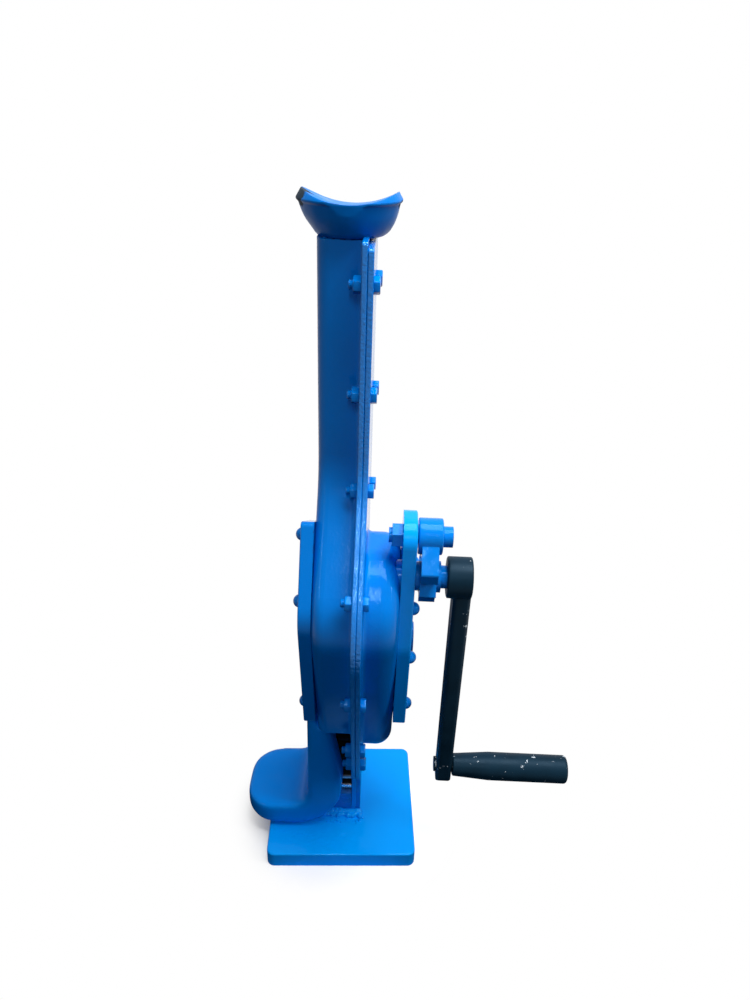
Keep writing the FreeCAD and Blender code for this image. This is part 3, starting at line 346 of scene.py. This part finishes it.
# Housing shells: two deep pressings of 5 mm sheet with wide flanges, the left one round the rack and
# the right one over the gears. Pressing leaves slow waves in the steel that bend the highlights, the
# cover's coat is rougher, and the sheared edges of both flanges glint.
SHEARED = (18.0, 5.6, 1.1)  # middle and half width in X, depth of the torn grain
shell_enamel = blue_enamel("blue_enamel_on_pressed_sheet", peel_mm=2.6, peel=0.12, swell_mm=34.0, swell=0.30,
                           sheared=SHEARED)
dress(shell_enamel, "left_shell", "guide_screws")
cover_enamel = blue_enamel("blue_enamel_on_pressed_cover", peel_mm=2.4, peel=0.27, swell_mm=34.0, swell=0.30,
                           sheared=SHEARED)
dress(cover_enamel, "right_shell")
# the guide strip takes the base plate's lighter blues: painted light
dress(painted_light_plate_enamel, "guide_strip")

# Bearing plates: thick flame-cut plates riveted outside the shells, with bushes for the three shafts.
# Rivets and bush ends were painted over together with the plates, with a thicker, rougher coat.
# the right plate takes the base plate's lighter blues as painted light; the left plate keeps the shells' blue
dress(painted_light_plate_enamel, "right_bearing_plate")
dress(shell_enamel, "left_bearing_plate")
rivet_enamel = blue_enamel("blue_enamel_on_rivets", peel_mm=1.6, peel=0.18, swell_mm=9.0, swell=0.3)
dress(rivet_enamel, "left_plate_rivets", "right_plate_rivets", "left_bushes", "right_bushes")

# Flange bolts and nuts: thirteen hexagon bolts clamp the two flanges, heads on the right, nuts on the
# left. Turned chamfers on the hexagons, rolled thread ends past the nuts, all painted with the shells.
FLATS = 13.0
ACROSS = FLATS / math.cos(math.pi / 6) / 2
SHANK = 4.0
HEAD_FROM, HEAD_TO = 23.0, 28.3
NUT_FROM, NUT_TO = 6.5, 13.0
THREAD_END = 2.5
CHAMFER, CHAMFER_DEEP = 1.1, 0.7
EDGE_BREAK = dict(width=0.22 * MM, segments=2, limit_method="ANGLE", angle_limit=math.radians(25))
BOLT_PLACES = [(-45.0, 669.0), (-45.0, 576.5), (-45.0, 484.0), (-107.3, 403.0), (-96.18, 271.0),
               (-63.51, 173.0), (-45.0, 132.0), (45.0, 656.0), (45.0, 551.2), (45.0, 446.4),
               (45.0, 341.6), (45.0, 236.8), (45.0, 132.0)]


def bar_x(sides, radius, start, end, y, z, spin=0.0):
    """A straight bar along X with its axis at (y, z), in millimetres."""
    deselect_all()
    bpy.ops.mesh.primitive_cylinder_add(vertices=sides, radius=radius * MM, depth=(end - start) * MM,
                                        rotation=(0, 0, spin))
    settle()
    bpy.context.object.rotation_euler = (0, math.pi / 2, 0)
    bpy.context.object.location = Vector(((start + end) / 2, y, z)) * MM
    return settle()


def pick(piece, kind, test):
    """In edit mode, select the faces, edges or vertices whose middle (mm) and normal pass a test;
    an edge has its run (mm) in place of a normal."""
    bpy.ops.mesh.select_mode(type=kind)
    bpy.ops.mesh.select_all(action="DESELECT")
    mesh = bmesh.from_edit_mesh(piece.data)
    if kind == "FACE":
        for face in mesh.faces:
            face.select_set(test(face.calc_center_median() / MM, face.normal))
    elif kind == "EDGE":
        for edge in mesh.edges:
            ends = [v.co / MM for v in edge.verts]
            edge.select_set(test((ends[0] + ends[1]) / 2, ends[1] - ends[0]))
    else:
        for vert in mesh.verts:
            vert.select_set(test(vert.co / MM, vert.normal))
    mesh.select_flush_mode()
    bmesh.update_edit_mesh(piece.data)


def push_end(step, scale, centre):
    """Extrude the selected end along X by a step and scale it about the bar's axis, in millimetres."""
    bpy.ops.mesh.extrude_region_move(TRANSFORM_OT_translate={"value": (step * MM, 0, 0)})
    bpy.ops.transform.resize(value=(1, scale, scale), center_override=Vector(centre) * MM)


def combine(body, tool, how):
    """Apply a boolean with a second mesh, which is used up."""
    apply_step(body, "BOOLEAN", object=tool, operation=how, solver="EXACT")
    bpy.data.objects.remove(tool)


def hexagon(start, end, chamfered_end, y, z):
    """A hexagon along X, points up, whose one end was turned to a cone."""
    body = bar_x(6, ACROSS, start, end, y, z, spin=math.pi / 2)
    way = 1 if chamfered_end == end else -1
    low, high = (start, end - CHAMFER_DEEP) if way > 0 else (start + CHAMFER_DEEP, end)
    blank = bar_x(48, ACROSS * 1.002, low - 0.01, high + 0.01, y, z)
    edit(blank)
    pick(blank, "FACE", lambda at, normal: normal.x * way > 0.9)
    push_end(way * CHAMFER_DEEP, 1 - CHAMFER / ACROSS, (chamfered_end, y, z))
    bpy.ops.object.mode_set(mode="OBJECT")
    combine(body, blank, "INTERSECT")
    return body


def join(pieces):
    deselect_all()
    for piece in pieces:
        piece.select_set(True)
    bpy.context.view_layer.objects.active = pieces[0]
    bpy.ops.object.join()
    return bpy.context.object


def repeat(first, places):
    """Copy a piece made at the first (y, z) to the others and join them all."""
    row = [first]
    for y, z in places[1:]:
        take(first)
        bpy.ops.object.duplicate()
        bpy.ops.transform.translate(value=(0, (y - places[0][0]) * MM, (z - places[0][1]) * MM))
        row.append(settle())
    return join(row)


y, z = BOLT_PLACES[0]
bolt_head = hexagon(HEAD_FROM, HEAD_TO, HEAD_TO, y, z)
PITCH, ROOT = 1.25, 0.86
THREAD = ((-0.4, ROOT), (-0.2, 1.0), (-0.4, 1 / ROOT), (-0.25, 1.0))  # steps of one turn and their scale
tip = NUT_FROM - 0.4
shank = bar_x(24, SHANK, tip, HEAD_FROM + 1, y, z)
edit(shank)
pick(shank, "FACE", lambda at, normal: normal.x < -0.9)
while tip - PITCH > THREAD_END + 0.6:
    for step, scale in THREAD:
        tip += step
        push_end(step, scale, (tip, y, z))
push_end(THREAD_END - tip, 0.78, (THREAD_END, y, z))
bpy.ops.object.mode_set(mode="OBJECT")
combine(bolt_head, shank, "UNION")
apply_step(bolt_head, "BEVEL", **EDGE_BREAK)
bolts = repeat(bolt_head, BOLT_PLACES)
bolt_enamel = blue_enamel("blue_enamel_on_bolts", peel_mm=1.4, peel=0.16, swell_mm=8.0, swell=0.25)
finish_piece(bolts, "flange_bolt_row", bolt_enamel, "housing", "blue_enamel", "flange_bolts", angle=30)

nut = hexagon(NUT_FROM, NUT_TO, NUT_FROM, y, z)
combine(nut, bar_x(24, SHANK + 0.05, NUT_FROM - 1, NUT_TO + 1, y, z), "DIFFERENCE")
apply_step(nut, "BEVEL", **EDGE_BREAK)
nuts = repeat(nut, BOLT_PLACES)
finish_piece(nuts, "flange_nut_row", bolt_enamel, "housing", "blue_enamel", "flange_nuts", angle=30)

# Saddle head: a forged cup with two horns and a trough between them that takes the load, welded into
# the column's top. Flats are ground front and back, the trough leans back a little, and the horns are
# worn to dark steel. Its coat is duller than the rest, and its blues are darker than the rest as
# painted shade.
FOOT = 699.9
NECK = 26.0
FLAT_Y = 40.0
TROUGH, VALLEY, TROUGH_X, LEAN = 76.8, 723.9, 1.5, 0.085
CUP_RINGS = [  # (height above the foot, radius, middle in X): the cup is fuller on the crank's side
    (0.8, 28.2, 1.2), (2.4, 30.2, 1.7), (4.4, 31.9, 2.0), (6.8, 33.6, 1.9), (9.5, 35.4, 1.6),
    (12.1, 36.9, 1.2), (15.0, 38.3, 0.9), (18.1, 39.5, 0.6), (22.5, 40.8, 0.2), (25.6, 41.7, 0.0),
    (26.4, 42.6, 0.0), (27.4, 43.5, 0.0), (28.6, 43.5, 0.0), (35.1, 39.6, 0.0)]
deselect_all()
bpy.ops.mesh.primitive_cylinder_add(vertices=128, radius=NECK * MM, depth=0.4 * MM,
                                    location=Vector((0, 0, FOOT + 0.2)) * MM)
cup = settle()
edit(cup)
pick(cup, "FACE", lambda at, normal: normal.z > 0.9)
height, radius, middle = 0.4, NECK, 0.0
for rise, wide, x in CUP_RINGS:
    step = ((x - middle) * MM, 0, (rise - height) * MM)
    bpy.ops.mesh.extrude_region_move(TRANSFORM_OT_translate={"value": step})
    bpy.ops.transform.resize(value=(wide / radius, wide / radius, 1),
                             center_override=Vector((x, 0, FOOT + rise)) * MM)
    height, radius, middle = rise, wide, x
for way in (-1, 1):
    bpy.ops.mesh.select_all(action="SELECT")
    bpy.ops.mesh.bisect(plane_co=(0, way * FLAT_Y * MM, 0), plane_no=(0, way, 0), clear_outer=True,
                        use_fill=True)
bpy.ops.object.mode_set(mode="OBJECT")
deselect_all()
bpy.ops.mesh.primitive_cylinder_add(vertices=256, radius=TROUGH * MM, depth=0.2,
                                    location=Vector((TROUGH_X, 0, VALLEY + TROUGH)) * MM,
                                    rotation=(math.pi / 2 - LEAN, 0, 0))
combine(cup, settle(), "DIFFERENCE")


def cube(low, high):
    deselect_all()
    low, high = Vector(low) * MM, Vector(high) * MM
    bpy.ops.mesh.primitive_cube_add(size=1, location=(low + high) / 2, scale=high - low)
    return settle()


SPIGOT_LOW, SPIGOT_HIGH = (-20, -20, 692), (12, 20, FOOT + 1)
combine(cup, cube(SPIGOT_LOW, SPIGOT_HIGH), "UNION")
apply_step(cup, "BEVEL", width=0.9 * MM, segments=3, limit_method="ANGLE", angle_limit=math.radians(28))
HORN_WEAR = [((-40, -16, 731), 10.0), ((-37, -6, 734), 10.0), ((-43, -2, 725), 6.0), ((44, -8, 724), 5.5),
             ((39, 12, 734), 4.0)]
# darker blues than the housing's: painted shade on the cup
head_enamel = blue_enamel("blue_enamel_shade_darkened_rubbed_at_horns", peel_mm=2.6, peel=0.08, swell_mm=14.0, swell=0.35,
                          worn=HORN_WEAR, blue=("#0062B4", "#006ABE"), gloss=(0.3, 0.5))
finish_piece(cup, "saddle_head", head_enamel, "housing", "blue_enamel", "head", angle=30)

# Toe: a forged steel claw that lifts from low down, one piece with the leg that is held in the left
# shell. Hammer-forged, so every edge is soft and its faces are slightly full.
TOE_TIP, TOE_HALF, TOE_LOW, TOE_TOP = -115.0, 47.0, 24.0, 57.0
LEG_LEFT, LEG_RIGHT, LEG_MID, LEG_TOP = -39.0, 2.0, 100.0, 186.7
TONGUE_RIGHT, TONGUE_TOP, LEG_TOP_RIGHT = -25.8, 205.0, -14.0
HEEL_ROUND, TIP_ROUND, LEG_ROUND, CROOK_ROUND = 62.0, 36.0, 13.0, 22.0
TIP_LIFT, TIP_FALL = 2.0, 3.0
SLOT_LOW, SLOT_HIGH = (-20.5, -20.7, 0), (8, 20.7, 250)  # the leg clears the rack
claw = cube((TOE_TIP, -TOE_HALF, TOE_LOW), (LEG_RIGHT, TOE_HALF, TOE_TOP))
edit(claw)
for x in (LEG_LEFT, TONGUE_RIGHT):
    bpy.ops.mesh.select_all(action="SELECT")
    bpy.ops.mesh.bisect(plane_co=(x * MM, 0, 0), plane_no=(1, 0, 0))
pick(claw, "FACE", lambda at, normal: normal.z > 0.9 and at.x > LEG_LEFT)
bpy.ops.mesh.extrude_region_move(TRANSFORM_OT_translate={"value": (0, 0, (LEG_MID - TOE_TOP) * MM)})
bpy.ops.mesh.extrude_region_move(TRANSFORM_OT_translate={"value": (0, 0, (LEG_TOP - LEG_MID) * MM)})
pick(claw, "VERT", lambda at, normal: at.z > LEG_TOP - 1 and at.x > LEG_RIGHT - 1)
bpy.ops.transform.translate(value=((LEG_TOP_RIGHT - LEG_RIGHT) * MM, 0, 0))
pick(claw, "FACE", lambda at, normal: normal.z > 0.9 and at.z > LEG_TOP - 1 and at.x < TONGUE_RIGHT)
bpy.ops.mesh.extrude_region_move(TRANSFORM_OT_translate={"value": (0, 0, (TONGUE_TOP - LEG_TOP) * MM)})
bpy.ops.mesh.select_all(action="SELECT")
bpy.ops.mesh.dissolve_limited(angle_limit=0.001)
pick(claw, "EDGE", lambda at, run: at.x > LEG_RIGHT - 1 and at.z < TOE_LOW + 1 and abs(run.y) > 1)
bpy.ops.mesh.bevel(offset=HEEL_ROUND * MM, segments=16, affect="EDGES")
pick(claw, "VERT", lambda at, normal: at.x < TOE_TIP + 1 and at.z < TOE_LOW + 1)
bpy.ops.transform.translate(value=(0, 0, TIP_LIFT * MM))
pick(claw, "VERT", lambda at, normal: at.x < TOE_TIP + 1 and at.z > TOE_TOP - 1)
bpy.ops.transform.translate(value=(0, 0, -TIP_FALL * MM))
pick(claw, "EDGE", lambda at, run: at.x < TOE_TIP + 1 and abs(run.y) < 0.1)
bpy.ops.mesh.bevel(offset=TIP_ROUND * MM, segments=12, affect="EDGES")
pick(claw, "EDGE", lambda at, run: at.z > TOE_TOP + 1 and abs(run.z) > 10
     and abs(at.y) > TOE_HALF - 1 and (at.x < LEG_LEFT + 1 or at.x > LEG_TOP_RIGHT - 1))
bpy.ops.mesh.bevel(offset=LEG_ROUND * MM, segments=5, affect="EDGES")
pick(claw, "EDGE", lambda at, run: abs(at.x - LEG_LEFT) < 0.1 and abs(at.z - TOE_TOP) < 0.1
     and abs(run.y) > 1)
bpy.ops.mesh.bevel(offset=CROOK_ROUND * MM, segments=8, affect="EDGES")
bpy.ops.object.mode_set(mode="OBJECT")
apply_step(claw, "REMESH", mode="VOXEL", voxel_size=1.5 * MM)
apply_step(claw, "SMOOTH", factor=0.5, iterations=110)
combine(claw, cube(SLOT_LOW, SLOT_HIGH), "DIFFERENCE")
# the toe's blues are lighter than the housing's: painted light
forged_enamel = blue_enamel("blue_enamel_painted_lighter_on_forging", peel_mm=2.6, peel=0.10, swell_mm=18.0, swell=0.30,
                            blue=("#007EE0", "#0088EE"), gloss=(0.12, 0.25))
finish_piece(claw, "forged_toe", forged_enamel, "housing", "blue_enamel", "toe", angle=50)

# Shafts and gears: turned and milled steel inside the housing. Only the shaft ends show, and they were
# painted over with the plates.
shaft_steel, tree = new_material("oiled_turned_steel")
where = add_node(tree, "TexCoord").outputs["Object"]
film = add_node(tree, "TexNoise", Vector=where, Scale=1 / (12 * MM), Detail=3.0).outputs["Fac"]
colour = add_node(tree, "Mix", {"data_type": "RGBA"}, Factor=film, _6=linear("#5B6066"), _7=linear("#8E949A"))
rough = add_node(tree, "MapRange", Value=film, To_Min=0.25, To_Max=0.45)
shader = add_node(tree, "BsdfPrincipled", Base_Color=colour.outputs[2], Roughness=rough.outputs[0],
                  Metallic=1.0)
add_node(tree, "OutputMaterial", Surface=shader.outputs[0])
dress(shaft_steel, "intermediate_gear", "main_gear")
dress(rivet_enamel, "crank_shaft", "intermediate_shaft", "rack_pinion_shaft")

# Ratchet and pawl: a cast ratchet wheel on the crank shaft and the pawl that drops into it, on a bolt
# through the right plate. Castings with a rough skin under the paint.
cast_enamel = blue_enamel("blue_enamel_on_casting", peel_mm=1.8, peel=0.22, swell_mm=10.0, swell=0.3)
dress(cast_enamel, "ratchet_wheel", "pawl", "pawl_bolt", "pawl_nut", "pawl_spacer")

# Crank: a forged arm with a square-holed boss, dipped in black paint. The paint is satin and chipped
# to pale primer in small flecks.
def black_paint(name, flecks, fleck_mm):
    """Satin black paint with rubbed patches and pale flecks; flecks is the noise level they start at."""
    made, tree = new_material(name)
    where = add_node(tree, "TexCoord").outputs["Object"]
    cloud = add_node(tree, "TexNoise", Vector=where, Scale=1 / (25 * MM), Detail=4.0).outputs["Fac"]
    tone = add_node(tree, "Mix", {"data_type": "RGBA"}, Factor=cloud, _6=linear("#03141F"),
                    _7=linear("#0C2636"))
    small = add_node(tree, "TexNoise", Vector=where, Scale=1 / (fleck_mm * MM), Detail=6.0).outputs["Fac"]
    group = add_node(tree, "TexNoise", Vector=where, Scale=1 / (28 * MM), Detail=1.0).outputs["Fac"]
    both = add_node(tree, "Math", {"operation": "MULTIPLY_ADD"}, _0=group, _1=0.45, _2=small)
    fleck = add_node(tree, "MapRange", Value=both.outputs[0], From_Min=flecks, From_Max=flecks + 0.02)
    colour = add_node(tree, "Mix", {"data_type": "RGBA"}, Factor=fleck.outputs[0], _6=tone.outputs[2],
                      _7=linear("#B4BEC6"))
    rough = add_node(tree, "MapRange", Value=cloud, From_Min=0.3, From_Max=0.7, To_Min=0.36, To_Max=0.55)
    soft = add_node(tree, "Bevel", {"samples": 4}, Radius=0.8 * MM)
    dents = add_node(tree, "Bump", Strength=0.3, Distance=0.6 * MM, Height=cloud, Normal=soft.outputs[0])
    grain = add_node(tree, "TexNoise", Vector=where, Scale=1 / (1.5 * MM), Detail=1.0).outputs["Fac"]
    skin = add_node(tree, "Bump", Strength=0.12, Distance=0.3 * MM, Height=grain, Normal=dents.outputs[0])
    shader = add_node(tree, "BsdfPrincipled", Base_Color=colour.outputs[2], Roughness=rough.outputs[0],
                      IOR=1.5, Specular_IOR_Level=0.15, Specular_Tint=linear("#A8D0F0"),
                      Normal=skin.outputs[0])
    add_node(tree, "OutputMaterial", Surface=shader.outputs[0])
    return made


CRANK_Y, CRANK_Z, GRIP_Z = -58.0, 402.38, 152.38
ARM_IN, ARM_OUT, BOSS_IN, BOSS = 107.0, 124.0, 100.0, 20.0
ARM_WIDE, ARM_SLIM, ARM_TAIL = 15.0, 11.5, 16.0
SQUARE, RECESS, PIN_BORE = 7.55, 11.5, 6.0  # half the square hole, radii of recess and pin hole
arm = cube((ARM_IN, CRANK_Y - ARM_WIDE, GRIP_Z - ARM_TAIL), (ARM_OUT, CRANK_Y + ARM_WIDE, CRANK_Z))
edit(arm)
pick(arm, "FACE", lambda at, normal: normal.z < -0.9)
bpy.ops.transform.resize(value=(1, ARM_SLIM / ARM_WIDE, 1),
                         center_override=Vector((ARM_OUT, CRANK_Y, GRIP_Z - ARM_TAIL)) * MM)
pick(arm, "EDGE", lambda at, run: abs(run.z) > 50)
bpy.ops.mesh.bevel(offset=3 * MM, segments=1, affect="EDGES")
pick(arm, "EDGE", lambda at, run: at.z < GRIP_Z - ARM_TAIL + 1 and abs(run.x) > 5)
bpy.ops.mesh.bevel(offset=4 * MM, segments=4, affect="EDGES")
bpy.ops.object.mode_set(mode="OBJECT")
combine(arm, bar_x(96, BOSS, BOSS_IN, ARM_OUT, CRANK_Y, CRANK_Z), "UNION")
apply_step(arm, "REMESH", mode="VOXEL", voxel_size=0.9 * MM)
apply_step(arm, "SMOOTH", factor=0.5, iterations=8)
combine(arm, cube((BOSS_IN - 1, CRANK_Y - SQUARE, CRANK_Z - SQUARE),
                  (ARM_OUT + 1, CRANK_Y + SQUARE, CRANK_Z + SQUARE)), "DIFFERENCE")
combine(arm, bar_x(48, RECESS, ARM_OUT - 8, ARM_OUT + 1, CRANK_Y, CRANK_Z), "DIFFERENCE")
combine(arm, bar_x(32, PIN_BORE, BOSS_IN, ARM_OUT + 1, CRANK_Y, GRIP_Z), "DIFFERENCE")
arm_paint = black_paint("black_paint_on_forging", 0.97, 5.0)
finish_piece(arm, "forged_crank_arm", arm_paint, "crank", "black_enamel", "crank_arm", angle=45)
dress(arm_paint, "crank_end_bolt")

# Grip: a steel tube that turns on a riveted pin, dipped in black paint like the arm. Hands and floors
# have scuffed it, so it has more pale flecks than the arm.
grip_paint = black_paint("black_paint_scuffed", 0.90, 5.0)
dress(grip_paint, "grip", "grip_pin")
